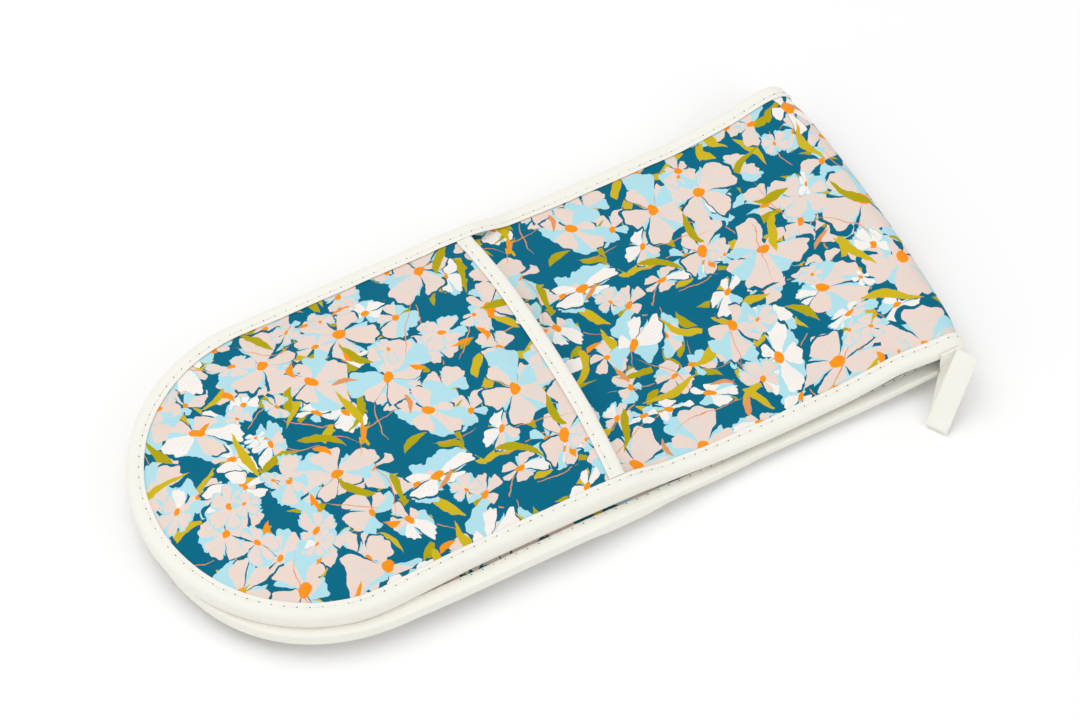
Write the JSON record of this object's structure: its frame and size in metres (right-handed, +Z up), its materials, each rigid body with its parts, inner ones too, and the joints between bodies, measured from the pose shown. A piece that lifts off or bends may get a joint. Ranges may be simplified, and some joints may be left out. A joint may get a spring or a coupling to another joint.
{
  "type": "double oven glove",
  "caption": "Long padded band, folded in half, with a hand pocket at each rounded end, bound edges and a hanging loop.",
  "frame": {"origin": "on the table, under the flat middle of the lower pocket", "axes": "+X toward the fold, +Y across the band to the back edge, +Z up"},
  "size_m": [0.388, 0.2075, 0.0322],
  "materials": {
    "outer_print": "printed cotton: blush and cream flowers with light-blue shadows, ochre leaves and orange centres on a teal ground",
    "inner_print": "the same printed cotton, on the faces that meet when the glove is folded",
    "lining": "plain cream cotton inside the pockets",
    "wadding": "white polyester wadding, sewn down at its edges",
    "binding": "cream cotton bias binding and tape, topstitched"
  },
  "bodies": {
    "lower_half": {"lower_band_inner_panel": "inner_print", "lower_band_wadding": "wadding", "lower_band_outer_panel": "outer_print", "lower_edge_binding": "binding"},
    "lower_pocket": {"lower_pocket_lining": "lining", "lower_pocket_wadding": "wadding", "lower_pocket_panel": "outer_print", "lower_mouth_binding": "binding"},
    "fold": {"fold_inner_panel": "inner_print", "fold_wadding": "wadding", "fold_outer_panel": "outer_print", "fold_front_binding": "binding", "fold_back_binding": "binding"},
    "upper_half": {"upper_band_inner_panel": "inner_print", "upper_band_wadding": "wadding", "upper_band_outer_panel": "outer_print", "upper_edge_binding": "binding"},
    "upper_pocket": {"upper_pocket_lining": "lining", "upper_pocket_wadding": "wadding", "upper_pocket_panel": "outer_print", "upper_mouth_binding": "binding"},
    "loop_sewn_end": {"loop_sewn_end": "binding"},
    "hanging_loop": {"hanging_loop": "binding"}
  },
  "joints": [
    {"name": "fold_lower_bend", "type": "hinge", "parent": "lower_half", "child": "fold", "pos_m": [0.25568, 0, 0.01052], "axis": [0, 1, 0], "range_deg": [0, 90], "deforming": ["fold_inner_panel", "fold_wadding", "fold_outer_panel", "fold_front_binding", "fold_back_binding"]},
    {"name": "fold_upper_bend", "type": "hinge", "parent": "fold", "child": "upper_half", "pos_m": [0.25568, 0, 0.02168], "axis": [0, 1, 0], "range_deg": [0, 90]},
    {"name": "lower_pocket_open", "type": "hinge", "parent": "lower_half", "child": "lower_pocket", "pos_m": [-0.1189, 0, 0.0071], "axis": [0, 1, 0], "range_deg": [0, 7], "deforming": ["lower_pocket_lining", "lower_pocket_wadding", "lower_pocket_panel", "lower_mouth_binding"]},
    {"name": "upper_pocket_open", "type": "hinge", "parent": "upper_half", "child": "upper_pocket", "pos_m": [-0.1189, 0, 0.0251], "axis": [0, -1, 0], "range_deg": [0, 7], "deforming": ["upper_pocket_lining", "upper_pocket_wadding", "upper_pocket_panel", "upper_mouth_binding"]},
    {"name": "loop_trail", "type": "hinge", "parent": "upper_half", "child": "loop_sewn_end", "pos_m": [0.2501, -0.0888, 0.0215], "axis": [0, 1, 0], "range_deg": [-160, 0]},
    {"name": "loop_swing", "type": "hinge", "parent": "loop_sewn_end", "child": "hanging_loop", "pos_m": [0.25585, -0.09425, 0.026], "axis": [-0.5878, 0.809, 0], "range_deg": [0, 100]}
  ],
  "couplings": [
    {"joint": "fold_upper_bend", "follows": "fold_lower_bend", "ratio": 1},
    {"joint": "loop_trail", "follows": "fold_lower_bend", "ratio": -1.75}
  ]
}
